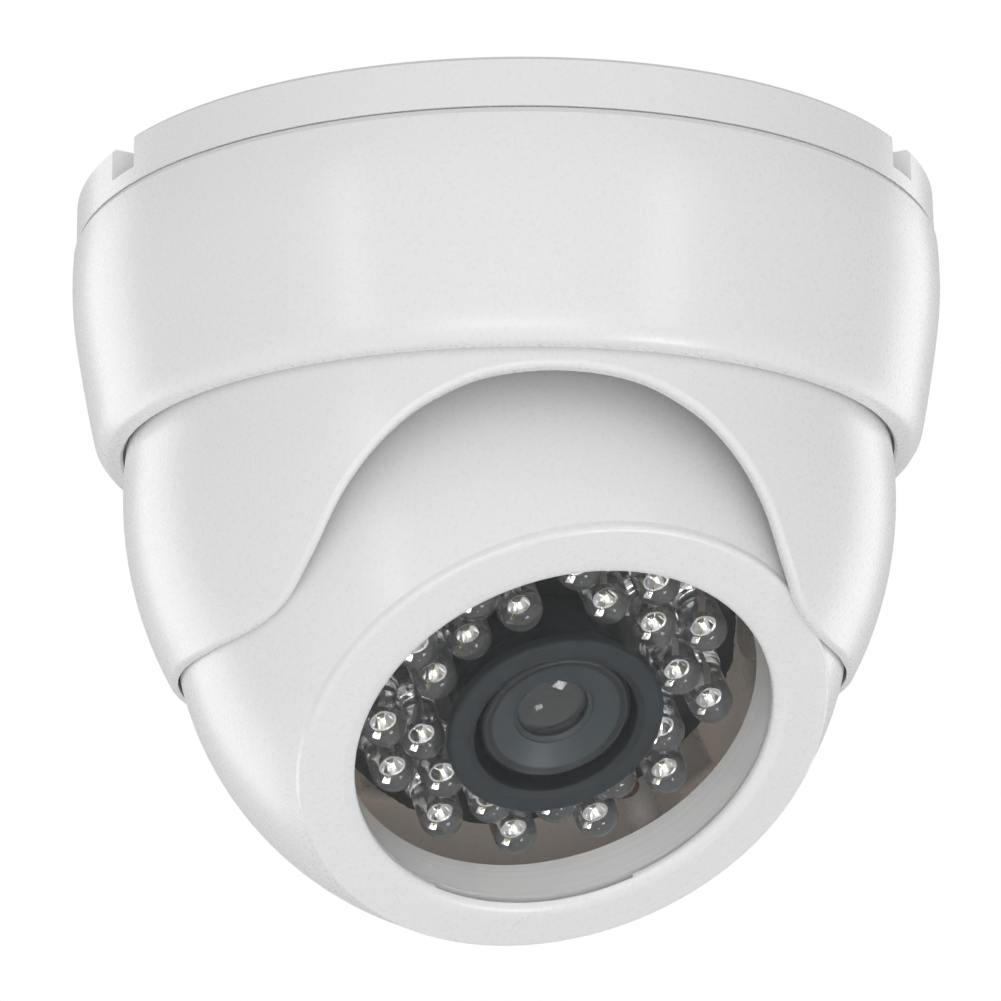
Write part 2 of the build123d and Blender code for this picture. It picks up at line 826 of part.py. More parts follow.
with BuildPart() as board_parts:
    # Capacitors, a crystal and small chips on the back of the sensor board
    with BuildSketch(eye_plane.offset(sensor_back)):
        with Locations((-6, 10), (12, 14)):
            Circle(2.0)
    extrude(amount=-5)
    with BuildSketch(eye_plane.offset(sensor_back)):
        with Locations((-6.5, 3.5)):
            RectangleRounded(5, 3.2, 0.8)
        with Locations((6, -6)):
            Rectangle(5, 4)
        with Locations((-5, -5.5), (-5, -8.5), (12, -9), (12, -12)):
            Rectangle(2.4, 1.4)
    extrude(amount=-1.3)
save(board_parts, "board_parts")

with BuildPart() as cable_connector:
    with BuildSketch(eye_plane.offset(sensor_back)):
        with Locations((0, -16)):
            Rectangle(12.5, 4.6)
    extrude(amount=-6.5)
    with BuildSketch(eye_plane.offset(sensor_back - 6.5)):
        with Locations((0, -16)):
            Rectangle(11, 3.2)
    extrude(amount=5, mode=Mode.SUBTRACT)
save(cable_connector, "cable_connector")

# ---- Lens ---------------------------------------------------------------------------------
with BuildPart() as lens_barrel:
    with BuildSketch(eye_section):
        Polygon(
            (thread_r, 6.0),
            (thread_r, lens_head_low),
            (lens_head_r, lens_head_low),
            (lens_head_r, lens_rim_h - 0.35),
            (lens_head_r - 0.3, lens_rim_h),
            (lens_head_r - 0.8, lens_rim_h),
            (lens_lip_r, lens_face_h),
            (lens_glass_r + 0.2, 17.45),
            (lens_glass_r, 17.3),
            (lens_glass_r, 16.8),
            (lens_bore_r, 16.8),
            (lens_bore_r, 13.0),
            (stop_r, 12.2),
            (stop_r, 11.4),
            (lens_bore_r, 11.0),
            (lens_bore_r, 6.0),
            align=None,
        )
    revolve(axis=eye_axis)
save(lens_barrel, "lens_barrel")

with BuildPart() as lens_front_glass:
    # Stepped disc held behind the lip of the barrel, with a rounded front
    with BuildSketch(eye_plane.offset(13.05)):
        Circle(lens_bore_r - 0.05)
    extrude(amount=3.7)
    with BuildSketch(eye_plane.offset(16.75)):
        Circle(lens_glass_r - 0.05)
    extrude(amount=0.7)
    front_edge = lens_front_glass.edges().filter_by(GeomType.CIRCLE).sort_by(eye_axis)[-1]
    fillet(front_edge, 0.65)
save(lens_front_glass, "lens_front_glass")

with BuildPart() as lens_rear_glass:
    with BuildSketch(eye_plane.offset(10.0)):
        Circle(4.35)
    extrude(amount=-2.6)
    with BuildSketch(eye_plane.offset(7.4)):
        Circle(3.8)
    extrude(amount=-1.0)
    rear_edge = lens_rear_glass.edges().filter_by(GeomType.CIRCLE).sort_by(eye_axis)[0]
    fillet(rear_edge, 0.7)
save(lens_rear_glass, "lens_rear_glass")

with BuildPart() as lens_hood:
    # Rubber light shield: a sleeve on the lens holder with a broad flat flange in front
    with BuildSketch(eye_section):
        Polygon(
            (holder_r, 10.3),
            (hood_in_r + 0.7, 10.3),
            (hood_in_r + 0.7, hood_back),
            (hood_out_r - 0.4, hood_back),
            (hood_out_r, hood_back + 0.4),
            (hood_out_r, hood_front - 0.45),
            (hood_out_r - 0.45, hood_front),
            (hood_flat_in_r, hood_front),
            (hood_in_r, hood_front - 0.45),
            (hood_in_r, holder_top),
            (holder_r, holder_top),
            align=None,
        )
    revolve(axis=eye_axis)
save(lens_hood, "lens_hood")
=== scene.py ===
import json
import math

import bmesh
import bpy
import numpy as np
from mathutils import Matrix, Vector, noise


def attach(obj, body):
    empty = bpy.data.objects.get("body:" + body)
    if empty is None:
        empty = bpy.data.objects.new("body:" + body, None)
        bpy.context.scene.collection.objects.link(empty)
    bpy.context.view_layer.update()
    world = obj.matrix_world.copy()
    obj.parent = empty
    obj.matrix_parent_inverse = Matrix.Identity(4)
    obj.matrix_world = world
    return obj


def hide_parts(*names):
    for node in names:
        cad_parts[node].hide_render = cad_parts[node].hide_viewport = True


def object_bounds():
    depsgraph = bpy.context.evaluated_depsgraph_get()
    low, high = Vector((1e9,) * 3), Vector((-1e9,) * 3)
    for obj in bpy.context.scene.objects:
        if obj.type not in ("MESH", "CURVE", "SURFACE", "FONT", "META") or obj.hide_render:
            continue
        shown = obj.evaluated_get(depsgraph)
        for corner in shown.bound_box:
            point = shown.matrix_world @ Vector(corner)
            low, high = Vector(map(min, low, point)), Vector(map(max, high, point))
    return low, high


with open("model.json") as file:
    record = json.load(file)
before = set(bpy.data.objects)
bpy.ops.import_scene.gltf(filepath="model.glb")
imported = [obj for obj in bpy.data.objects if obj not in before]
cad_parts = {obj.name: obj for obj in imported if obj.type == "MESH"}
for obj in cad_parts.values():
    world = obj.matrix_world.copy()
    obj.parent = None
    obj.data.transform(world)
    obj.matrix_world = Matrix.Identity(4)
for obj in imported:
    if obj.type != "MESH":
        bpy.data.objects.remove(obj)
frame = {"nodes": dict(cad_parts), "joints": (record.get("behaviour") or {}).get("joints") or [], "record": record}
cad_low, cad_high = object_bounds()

MM = 0.001
TOP_BAND = 0.02  # depth of the foremost face of a solid, in millimetres
SAME_TIP = 1.0  # points closer than this belong to one solid
AXIS_R = 1e-6  # a smaller radius is on the axis
TIGHTEST = 0.49  # most of a side that one rounded corner may take

# ---- Frames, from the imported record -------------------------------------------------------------
joints = {j["name"]: j for j in frame["joints"]}
ball_centre = Vector(joints["eye_tilt"]["pos_m"])
side_dir = Vector(joints["eye_tilt"]["axis"]).normalized()
look_dir = Vector(joints["lens_focus"]["axis"]).normalized()
up_dir = look_dir.cross(side_dir)
EYE = (ball_centre, side_dir, up_dir, look_dir)


def node_points(node):
    """A CAD node's vertices in the eyeball's frame, in millimetres.

    x runs along the tilt axis and z along the optical axis.
    """
    mesh = frame["nodes"][node].data
    co = np.zeros(len(mesh.vertices) * 3)
    mesh.vertices.foreach_get("co", co)
    co = co.reshape(-1, 3) - np.array(ball_centre)
    axes = np.array([side_dir, up_dir, look_dir])
    return co @ axes.T / MM


def span(node):
    """(lowest, highest) height of a CAD node along the optical axis, in millimetres."""
    heights = node_points(node)[:, 2]
    return float(heights.min()), float(heights.max())


def outer_radius(node):
    """Largest distance of a CAD node from the optical axis, in millimetres."""
    points = node_points(node)
    return float(np.hypot(points[:, 0], points[:, 1]).max())


def tips(node):
    """Centre of the foremost face of each solid of a CAD node, in the eyeball's frame."""
    points = node_points(node)
    top = points[points[:, 2] > points[:, 2].max() - TOP_BAND][:, :2]
    centres = []
    for p in top:
        near = [c for c in centres if math.dist(c["at"], p) < SAME_TIP]
        if near:
            near[0]["all"].append(p)
        else:
            centres.append({"at": p, "all": [p]})
    return sorted(tuple(np.mean(c["all"], axis=0)) for c in centres)


# ---- Mesh building -------------------------------------------------------------------------------
class Shape:
    """Vertices and faces collected in millimetres in a local frame."""

    def __init__(self):
        self.verts = []
        self.faces = []

    def add(self, verts, faces, at=(0, 0, 0), turn=0.0):
        start = len(self.verts)
        c, s = math.cos(turn), math.sin(turn)
        for x, y, z in verts:
            self.verts.append((at[0] + c * x - s * y, at[1] + s * x + c * y, at[2] + z))
        self.faces += [tuple(start + i for i in f) for f in faces]
        return self


def rounded(corners, steps=6):
    """A closed outline from (x, y, radius) corners, each turned into an arc of that radius."""
    outline = []
    count = len(corners)
    for i, (x, y, radius) in enumerate(corners):
        here = Vector((x, y))
        before = Vector(corners[i - 1][:2]) - here
        after = Vector(corners[(i + 1) % count][:2]) - here
        if radius <= 0:
            outline.append((x, y))
            continue
        u, v = before.normalized(), after.normalized()
        half = math.acos(max(-1.0, min(1.0, u.dot(v)))) / 2
        back = min(radius / math.tan(half), before.length * TIGHTEST, after.length * TIGHTEST)
        radius = back * math.tan(half)
        centre = here + (u + v).normalized() * (radius / math.sin(half))
        start, end = here + u * back - centre, here + v * back - centre
        sweep = start.angle_signed(end)
        for k in range(steps + 1):
            a = -sweep * k / steps
            c, s = math.cos(a), math.sin(a)
            outline.append((centre.x + c * start.x - s * start.y, centre.y + s * start.x + c * start.y))
    return outline


def lathe(profile, segments=192, closed=True):
    """Faces of revolution round the local Z axis from (radius, height) points."""
    verts, rings = [], []
    for r, h in profile:
        if r < AXIS_R:
            rings.append([len(verts)] * segments)
            verts.append((0.0, 0.0, h))
            continue
        rings.append([len(verts) + i for i in range(segments)])
        for i in range(segments):
            a = math.tau * i / segments
            verts.append((r * math.cos(a), r * math.sin(a), h))
    faces = []
    pairs = len(profile) if closed else len(profile) - 1
    for k in range(pairs):
        low, high = rings[k], rings[(k + 1) % len(profile)]
        for i in range(segments):
            j = (i + 1) % segments
            face = []
            for v in (low[i], low[j], high[j], high[i]):
                if v not in face:
                    face.append(v)
            if len(face) > 2:
                faces.append(tuple(face))
    return verts, faces


def prism(outline, low, high):
    """A closed prism from an outline of (x, y) points between two heights."""
    count = len(outline)
    verts = [(x, y, low) for x, y in outline] + [(x, y, high) for x, y in outline]
    faces = [tuple(range(count))[::-1], tuple(range(count, 2 * count))]
    faces += [(i, (i + 1) % count, count + (i + 1) % count, count + i) for i in range(count)]
    return verts, faces


def upright(outline, thick):
    """A plate standing on edge: an outline of (y, z) points, given a thickness along X."""
    verts, faces = prism(outline, -thick / 2, thick / 2)
    return [(h, y, z) for y, z, h in verts], faces


def block(size, centre=(0, 0, 0)):
    """A box from its three sides."""
    x, y, z = (s / 2 for s in size)
    verts, faces = prism([(-x, -y), (x, -y), (x, y), (-x, y)], -z, z)
    return [(a + centre[0], b + centre[1], c + centre[2]) for a, b, c in verts], faces


def tube(points, radius, sides=8):
    """A round wire along a list of points."""
    path = [Vector(p) for p in points]
    verts, faces = [], []
    for i, p in enumerate(path):
        along = (path[min(i + 1, len(path) - 1)] - path[max(i - 1, 0)]).normalized()
        x = along.orthogonal().normalized()
        y = along.cross(x)
        for k in range(sides):
            a = math.tau * k / sides
            verts.append(tuple(p + (x * math.cos(a) + y * math.sin(a)) * radius))
    for i in range(len(path) - 1):
        for k in range(sides):
            a, b = i * sides + k, i * sides + (k + 1) % sides
            faces.append((a, b, b + sides, a + sides))
    faces.append(tuple(range(sides))[::-1])
    faces.append(tuple(range(len(verts) - sides, len(verts))))
    return verts, faces


def piece(name, shape, axes, body, finish, stands_for=(), crease=35.0, bevel=0.0):
    """Turns a Shape into an object in the row frame that rides on a body."""
    origin, x, y, z = axes
    co = [origin + (x * a + y * b + z * c) * MM for a, b, c in shape.verts]
    mesh = bpy.data.meshes.new(name)
    mesh.from_pydata(co, [], shape.faces)
    mesh.validate()
    mesh.update()
    fix_normals(mesh)
    mesh.shade_smooth()
    mesh.set_sharp_from_angle(angle=math.radians(crease))
    obj = bpy.data.objects.new(name, mesh)
    bpy.context.scene.collection.objects.link(obj)
    mesh.materials.append(finish)
    if bevel:
        edge = obj.modifiers.new("edge", "BEVEL")
        edge.width = bevel * MM
        edge.segments = 2
        edge.limit_method = "ANGLE"
        edge.angle_limit = math.radians(40)
    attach(obj, body)
    if stands_for:
        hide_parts(*stands_for)
    return obj


def fix_normals(mesh):
    """Turns every face outward."""
    bm = bmesh.new()
    bm.from_mesh(mesh)
    bmesh.ops.recalc_face_normals(bm, faces=bm.faces)
    bm.to_mesh(mesh)
    bm.free()


# ---- Materials -----------------------------------------------------------------------------------
MIX_A, MIX_B, MIX_RESULT = 6, 7, 2  # the colour sockets of a mix node


class Finish:
    """A procedural material around one Principled shader."""

    def __init__(self, name, **constants):
        self.material = bpy.data.materials.new(name)
        self.material.use_nodes = True
        self.nodes = self.material.node_tree.nodes
        self.links = self.material.node_tree.links
        self.nodes.clear()
        self.output = self.nodes.new("ShaderNodeOutputMaterial")
        self.shader = self.nodes.new("ShaderNodeBsdfPrincipled")
        self.links.new(self.shader.outputs["BSDF"], self.output.inputs["Surface"])
        self.coords = self.nodes.new("ShaderNodeTexCoord").outputs["Object"]
        for socket, value in constants.items():
            self.shader.inputs[socket.replace("_", " ")].default_value = value

    def noise(self, scale, detail=3.0, rough=0.5, stretch=None):
        """Noise over the object, with scale in cells per metre."""
        node = self.nodes.new("ShaderNodeTexNoise")
        node.inputs["Scale"].default_value = scale
        node.inputs["Detail"].default_value = detail
        node.inputs["Roughness"].default_value = rough
        coords = self.coords
        if stretch:
            mapping = self.nodes.new("ShaderNodeMapping")
            mapping.inputs["Scale"].default_value = stretch
            self.links.new(coords, mapping.inputs["Vector"])
            coords = mapping.outputs["Vector"]
        self.links.new(coords, node.inputs["Vector"])
        return node.outputs["Fac"]

    def lines(self, direction, scale):
        """Fine lines square to a direction, as a turned or drawn surface has."""
        along = self.nodes.new("ShaderNodeVectorMath")
        along.operation = "DOT_PRODUCT"
        along.inputs[1].default_value = direction
        self.links.new(self.coords, along.inputs[0])
        node = self.nodes.new("ShaderNodeTexNoise")
        node.noise_dimensions = "1D"
        node.inputs["Scale"].default_value = scale
        node.inputs["Detail"].default_value = 2.0
        self.links.new(along.outputs["Value"], node.inputs["W"])
        return node.outputs["Fac"]

    def distance(self, centre):
        """How far a point lies from a centre."""
        node = self.nodes.new("ShaderNodeVectorMath")
        node.operation = "DISTANCE"
        node.inputs[1].default_value = centre
        self.links.new(self.coords, node.inputs[0])
        return node.outputs["Value"]

    def height(self, direction, centre):
        """How far a point lies along a direction from a centre."""
        offset = self.nodes.new("ShaderNodeVectorMath")
        offset.operation = "SUBTRACT"
        offset.inputs[1].default_value = centre
        self.links.new(self.coords, offset.inputs[0])
        along = self.nodes.new("ShaderNodeVectorMath")
        along.operation = "DOT_PRODUCT"
        along.inputs[1].default_value = direction
        self.links.new(offset.outputs["Vector"], along.inputs[0])
        return along.outputs["Value"]

    def product(self, first, second):
        node = self.nodes.new("ShaderNodeMath")
        node.operation = "MULTIPLY"
        self.links.new(first, node.inputs[0])
        self.links.new(second, node.inputs[1])
        return node.outputs["Value"]

    def cells(self, scale, feature="F1"):
        """Voronoi cells over the object."""
        node = self.nodes.new("ShaderNodeTexVoronoi")
        node.feature = feature
        node.inputs["Scale"].default_value = scale
        self.links.new(self.coords, node.inputs["Vector"])
        return node.outputs["Distance"]

    def between(self, field, low, high, start=0.3, end=0.7):
        """A field that runs from start to end, mapped to run from low to high."""
        node = self.nodes.new("ShaderNodeMapRange")
        node.inputs["From Min"].default_value = start
        node.inputs["From Max"].default_value = end
        node.inputs["To Min"].default_value = low
        node.inputs["To Max"].default_value = high
        self.links.new(field, node.inputs["Value"])
        return node.outputs["Result"]

    def blend(self, field, first, second):
        """From the first colour to the second as the field runs from 0 to 1."""
        node = self.nodes.new("ShaderNodeMix")
        node.data_type = "RGBA"
        self.links.new(field, node.inputs["Factor"])
        a, b = node.inputs[MIX_A], node.inputs[MIX_B]
        for socket, value in ((a, first), (b, second)):
            if isinstance(value, tuple):
                socket.default_value = (*value, 1.0)
            else:
                self.links.new(value, socket)
        return node.outputs[MIX_RESULT]

    def colour(self, socket):
        self.links.new(socket, self.shader.inputs["Base Color"])
        return self

    def roughness(self, socket):
        self.links.new(socket, self.shader.inputs["Roughness"])
        return self

    def bump(self, *layers):
        """Bump from (field, strength, depth in millimetres) layers, one on top of another."""
        normal = None
        for field, strength, depth in layers:
            node = self.nodes.new("ShaderNodeBump")
            node.inputs["Strength"].default_value = strength
            node.inputs["Distance"].default_value = depth * MM
            self.links.new(field, node.inputs["Height"])
            if normal is not None:
                self.links.new(normal, node.inputs["Normal"])
            normal = node.outputs["Normal"]
        self.links.new(normal, self.shader.inputs["Normal"])
        return self

    def lets_lamps_through(self, tint):
        """Light reaches what is behind this glass."""
        path = self.nodes.new("ShaderNodeLightPath")
        clear = self.nodes.new("ShaderNodeBsdfTransparent")
        clear.inputs["Color"].default_value = (*tint, 1.0)
        mix = self.nodes.new("ShaderNodeMixShader")
        self.links.new(path.outputs["Is Shadow Ray"], mix.inputs["Fac"])
        self.links.new(self.shader.outputs["BSDF"], mix.inputs[1])
        self.links.new(clear.outputs["BSDF"], mix.inputs[2])
        self.links.new(mix.outputs["Shader"], self.output.inputs["Surface"])
        return self


def tones(finish, scale, first, second, detail=3.0):
    """A colour that wanders between two tones."""
    return finish.blend(finish.between(finish.noise(scale, detail), 0.0, 1.0), first, second)


def two_tone(finish, scale, first, second, detail=3.0):
    return finish.colour(tones(finish, scale, first, second, detail))


# White plastic: its two tones and the range of its roughness.
WHITE = (0.830, 0.830, 0.830), (0.833, 0.833, 0.833)
WHITE_GLOSS = 0.273, 0.277
WHITE_IOR = 1.47
TONE_SCALE, GLOSS_SCALE, GRAIN_SCALE = 1400.0, 2400.0, 3600.0
GRAIN_DEPTH = 0.01

# The inside of the eyeball: a lighter, warmer tone, posts darkened with painted shade, and a painted glow that
# stands in for the light its thin wall lets in.
INNER_WARM = (0.94, 0.86, 0.80), (0.96, 0.88, 0.82)
# Painted shade: the grey that darkens the posts inside the eyeball.
SHADED_POST = (0.36, 0.34, 0.33)
PAINTED_WALL_GLOW = (0.026, 0.0235, 0.021)
NO_GLOW = (0, 0, 0)
WALL_OUTSIDE = 34.9 * MM, 35.2 * MM  # from the centre: inner wall below, outside above
SHADED_POST_REACH = 32.2 * MM, 33.2 * MM  # from the centre: posts below, wall above
WINDOW_SEAT = 20.6 * MM, 21.0 * MM  # along the optical axis


def white_plastic(name, first, second, low, high, grain):
    f = Finish(name, IOR=WHITE_IOR)
    two_tone(f, TONE_SCALE, first, second, 1.0)
    f.roughness(f.between(f.noise(GLOSS_SCALE, 1.0), low, high))
    f.bump((f.noise(GRAIN_SCALE, 2.0), grain, GRAIN_DEPTH))
    return f.material


def eye_wall_plastic(name):
    """White outside; a lighter, warmer tone on the inner wall of the eyeball, below the window seat. Its posts are
    darkened with painted shade, and the inner wall has a faint painted glow standing in for light through the thin
    shell.
    """
    f = Finish(name, IOR=WHITE_IOR)
    near = f.between(f.distance(ball_centre), 1.0, 0.0, *WALL_OUTSIDE)
    deep = f.between(f.height(look_dir, ball_centre), 1.0, 0.0, *WINDOW_SEAT)
    white = tones(f, TONE_SCALE, *WHITE, 1.0)
    inner_warm = tones(f, 200.0, *INNER_WARM)
    # Painted shade: posts nearer the centre than the inner wall are darkened to grey.
    inside = f.blend(f.between(f.distance(ball_centre), 0.0, 1.0, *SHADED_POST_REACH), SHADED_POST, inner_warm)
    inner = f.product(near, deep)
    f.colour(f.blend(inner, white, inside))
    # Painted light: a faint glow on the inner wall stands in for light shining through the thin shell.
    f.links.new(f.blend(inner, NO_GLOW, PAINTED_WALL_GLOW), f.shader.inputs["Emission Color"])
    f.shader.inputs["Emission Strength"].default_value = 1.0
    f.roughness(f.between(f.noise(GLOSS_SCALE, 1.0), *WHITE_GLOSS))
    f.bump((f.noise(GRAIN_SCALE, 1.0), 0.004, GRAIN_DEPTH))
    return f.material


def dark_plastic(name, first, second, low, high, grain, scale=2600.0):
    f = Finish(name, IOR=1.46)
    two_tone(f, 260.0, first, second, 5.0)
    f.roughness(f.between(f.noise(700.0, 4.0), low, high))
    f.bump((f.noise(scale, 3.0), grain, 0.03))
    return f.material


def rim_shaded_plastic(name, first, second, rim, cone_centre, cone_radius):
    """Dark moulded plastic with a lighter cone; the rim round the cone is darkened with painted shade."""
    f = Finish(name, IOR=1.46)
    cone = tones(f, 900.0, first, second)
    # Painted shade: outside the cone the barrel takes the near-black rim colour.
    seam = 0.05 * MM
    outside = f.between(f.distance(cone_centre), 0.0, 1.0, cone_radius - seam, cone_radius + seam)
    f.colour(f.blend(outside, cone, rim))
    f.roughness(f.between(f.noise(700.0, 4.0), 0.30, 0.40))
    f.bump((f.noise(2600.0, 3.0), 0.06, 0.02))
    return f.material


def grained_rubber(name, first, second, cell):
    f = Finish(name, IOR=1.45, Specular_IOR_Level=0.42)
    speck = f.between(f.noise(cell, 2.0), 0.0, 1.0, 0.35, 0.65)
    f.colour(f.blend(speck, first, second))
    f.roughness(f.between(f.noise(900.0, 3.0), 0.40, 0.58))
    f.bump((f.cells(cell * 0.8), 0.16, 0.04), (f.noise(cell, 2.0), 0.12, 0.03))
    return f.material


def metal(name, first, second, low, high, stretch=None):
    f = Finish(name, Metallic=1.0)
    two_tone(f, 900.0, first, second, 4.0)
    f.roughness(f.between(f.noise(1500.0, 4.0, stretch=stretch), low, high))
    f.bump((f.noise(3800.0, 3.0, stretch=stretch), 0.12, 0.01))
    return f.material


def clear_plastic(name, first, second, ior, low, high, wave, shade, clear=1.0):
    f = Finish(name, IOR=ior, Transmission_Weight=clear)
    two_tone(f, 120.0, first, second)
    f.roughness(f.between(f.noise(300.0, 3.0), low, high))
    f.bump((f.lines(look_dir, 2600.0), wave, 0.02))
    return f.lets_lamps_through(shade).material


def felt(name, first, second):
    f = Finish(name, Sheen_Weight=0.4)
    two_tone(f, 1400.0, first, second, 5.0)
    f.roughness(f.between(f.noise(900.0, 3.0), 0.85, 1.0))
    f.bump((f.noise(2600.0, 6.0, 0.7), 0.7, 0.15))
    return f.material


def printed_board(name, mask, trace, low, high):
    f = Finish(name, IOR=1.5)
    lines = f.between(f.cells(420.0, "DISTANCE_TO_EDGE"), 1.0, 0.0, 0.02, 0.07)
    f.colour(f.blend(lines, mask, trace))
    f.roughness(f.between(f.noise(500.0, 3.0), low, high))
    f.bump((lines, 0.35, 0.03), (f.noise(2400.0, 2.0), 0.1, 0.01))
    return f.material


def ring_plastic(name, first, second, direction):
    f = Finish(name, IOR=1.47)
    lines = f.lines(direction, 1900.0)
    f.colour(f.blend(f.between(lines, 0.0, 1.0), first, second))
    f.roughness(f.between(f.noise(160.0, 5.0), 0.16, 0.30))
    f.bump((lines, 0.25, 0.05))
    return f.material


# Outside this cone the lens barrel carries painted shade.
CONE_HEIGHT, CONE_RADIUS = 18.4, 6.8  # the lens barrel's light cone, in the eyeball's frame

finishes = {
    "white_shell": white_plastic("white_shell", *WHITE, *WHITE_GLOSS, 0.005),
    "inner_plastic": white_plastic("inner_plastic", (0.84, 0.81, 0.78), (0.88, 0.85, 0.82), 0.36, 0.44, 0.12),
    "grommet_rubber": grained_rubber("grommet_rubber", (0.018, 0.018, 0.018), (0.03, 0.03, 0.03), 2600.0),
    "hood_rubber": grained_rubber("hood_rubber", (0.008, 0.012, 0.015), (0.017, 0.024, 0.029), 3400.0),
    "friction_felt": felt("friction_felt", (0.05, 0.05, 0.052), (0.12, 0.12, 0.125)),
    "steel_screws": metal("steel_screws", (0.60, 0.60, 0.61), (0.72, 0.72, 0.73), 0.22, 0.38),
    "clear_window": clear_plastic(
        "clear_window", (0.985, 0.99, 0.99), (0.99, 0.995, 0.995), 1.40, 0.0, 0.02, 0.0, (0.98, 0.98, 0.98)
    ),
    "clear_epoxy": clear_plastic(
        "clear_epoxy", (0.96, 0.97, 0.97), (0.99, 0.99, 0.99), 1.52, 0.0, 0.02, 0.7, (0.98, 0.98, 0.98), 0.97
    ),
    "lamp_board": printed_board("lamp_board", (0.013, 0.015, 0.016), (0.022, 0.025, 0.026), 0.28, 0.42),
    "green_board": printed_board("green_board", (0.012, 0.11, 0.045), (0.03, 0.17, 0.07), 0.28, 0.42),
    "black_chip": dark_plastic("black_chip", (0.018, 0.018, 0.019), (0.032, 0.032, 0.033), 0.38, 0.55, 0.4),
    "sensor_package": dark_plastic(
        "sensor_package", (0.02, 0.02, 0.024), (0.035, 0.034, 0.04), 0.08, 0.2, 0.1
    ),
    "photocell_resin": dark_plastic(
        "photocell_resin", (0.05, 0.025, 0.018), (0.10, 0.05, 0.03), 0.2, 0.35, 0.3, 900.0
    ),
    "filter_glass": clear_plastic(
        "filter_glass", (0.62, 0.86, 0.86), (0.68, 0.90, 0.88), 1.5, 0.0, 0.02, 0.0, (0.6, 0.8, 0.8)
    ),
    # Painted shade: the lens glass passes only a tenth of the light, and its dark grey colour stands in for the
    # shaded inside of the lens seen through it.
    "lens_glass": clear_plastic(
        "lens_glass", (0.040, 0.043, 0.045), (0.055, 0.057, 0.058), 1.6, 0.04, 0.06, 0.0, (0.3, 0.3, 0.3), 0.1
    ),
    "lens_body": rim_shaded_plastic(
        "lens_body",
        (0.036, 0.047, 0.053),
        (0.046, 0.059, 0.065),
        # the rim colour: painted shade
        (0.010, 0.013, 0.015),
        ball_centre + look_dir * CONE_HEIGHT * MM,
        CONE_RADIUS * MM,
    ),
    "connector_plastic": white_plastic(
        "connector_plastic", (0.70, 0.67, 0.58), (0.76, 0.73, 0.64), 0.4, 0.55, 0.15
    ),
    "spacer_brass": metal("spacer_brass", (0.62, 0.45, 0.18), (0.74, 0.56, 0.26), 0.2, 0.36),
}
lamp_silver = metal("lamp_silver", (0.86, 0.86, 0.85), (0.95, 0.95, 0.94), 0.10, 0.22)
lamp_gold = metal("lamp_gold", (0.80, 0.62, 0.28), (0.90, 0.72, 0.36), 0.15, 0.3)
lamp_die = dark_plastic("lamp_die", (0.10, 0.09, 0.08), (0.16, 0.14, 0.12), 0.2, 0.35, 0.2)
lens_black = dark_plastic("lens_black", (0.016, 0.016, 0.017), (0.026, 0.025, 0.025), 0.55, 0.65, 0.05)
solder = metal("solder", (0.66, 0.66, 0.67), (0.80, 0.80, 0.80), 0.2, 0.36)

for part in frame["record"]["subparts"]:
    node = frame["nodes"][part["node"]]
    node.material_slots[0].material = finishes[part["material_slot"]]
frame["nodes"]["window_ring"].material_slots[0].material = ring_plastic(
    "window_ring_plastic", (0.88, 0.88, 0.87), (0.93, 0.93, 0.92), look_dir
)

eye_plastic = eye_wall_plastic("eye_plastic")
for node in ("eye_front", "eye_rear"):
    frame["nodes"][node].material_slots[0].material = eye_plastic

# ---- Lamps ---------------------------------------------------------------------------------------
lamp_low, lamp_high = span("led_lamps")
lamp_tall = lamp_high - lamp_low
lamp_r = 2.35
flange_r = 2.75
lamp_spots = tips("led_lamps")

dome_low = lamp_tall - lamp_r
dome = [(lamp_r * math.cos(a), dome_low + lamp_r * math.sin(a)) for a in np.linspace(0, math.pi / 2, 17)]
dome[-1] = (0.0, lamp_tall)
body_profile = [
    (0.0, 0.02),
    (flange_r - 0.15, 0.02),
    (flange_r, 0.15),
    (flange_r, 0.85),
    (flange_r - 0.1, 1.0),
    (lamp_r + 0.07, 1.06),
    (lamp_r + 0.02, 1.3),
    *dome,
]
bodies, silver, gold, dies = Shape(), Shape(), Shape(), Shape()
cup_rim = lamp_tall - 2.75
cup_floor = cup_rim - 0.5
cup_profile = [
    (0.0, cup_floor),
    (0.30, cup_floor),
    (0.36, cup_floor + 0.02),
    (0.72, cup_rim),
    (0.84, cup_rim),
    (0.87, cup_rim - 0.06),
    (0.58, cup_floor - 0.2),
    (0.0, cup_floor - 0.2),
]
leg_in, leg_out = 1.02, 1.52
anvil = [
    (leg_out, 0.0),
    (leg_out, cup_floor - 2.2),
    (0.5, cup_floor - 0.6),
    (0.42, cup_floor - 0.1),
    (-0.42, cup_floor - 0.1),
    (-0.42, cup_floor - 0.9),
    (0.5, cup_floor - 2.0),
    (leg_in, cup_floor - 2.9),
    (leg_in, 0.0),
]
post = [
    (-leg_in, 0.0),
    (-leg_in, cup_floor - 1.4),
    (-0.84, cup_floor - 0.7),
    (-0.93, cup_rim - 0.05),
    (-1.30, cup_rim - 0.05),
    (-1.42, cup_floor - 0.6),
    (-leg_out, cup_floor - 1.3),
    (-leg_out, 0.0),
]
wire = [
    (0.0, 0.0, cup_floor + 0.13),
    (0.0, -0.08, cup_floor + 0.45),
    (0.0, -0.35, cup_rim + 0.22),
    (0.0, -0.80, cup_rim + 0.18),
    (0.0, -1.10, cup_rim - 0.05),
]
for x, y in lamp_spots:
    lean = 0.12 * noise.noise(Vector((x, y, 3.7)))
    at = (x, y, lamp_low)
    bodies.add(*lathe(body_profile, 48, closed=False), at)
    silver.add(*lathe(cup_profile, 32), at)
    silver.add(*upright(anvil, 0.5), at, lean)
    silver.add(*upright(post, 0.42), at, lean)
    gold.add(*tube(wire, 0.035), at, lean)
    dies.add(*block((0.34, 0.34, 0.14), (0, 0, cup_floor + 0.07)), at, lean)
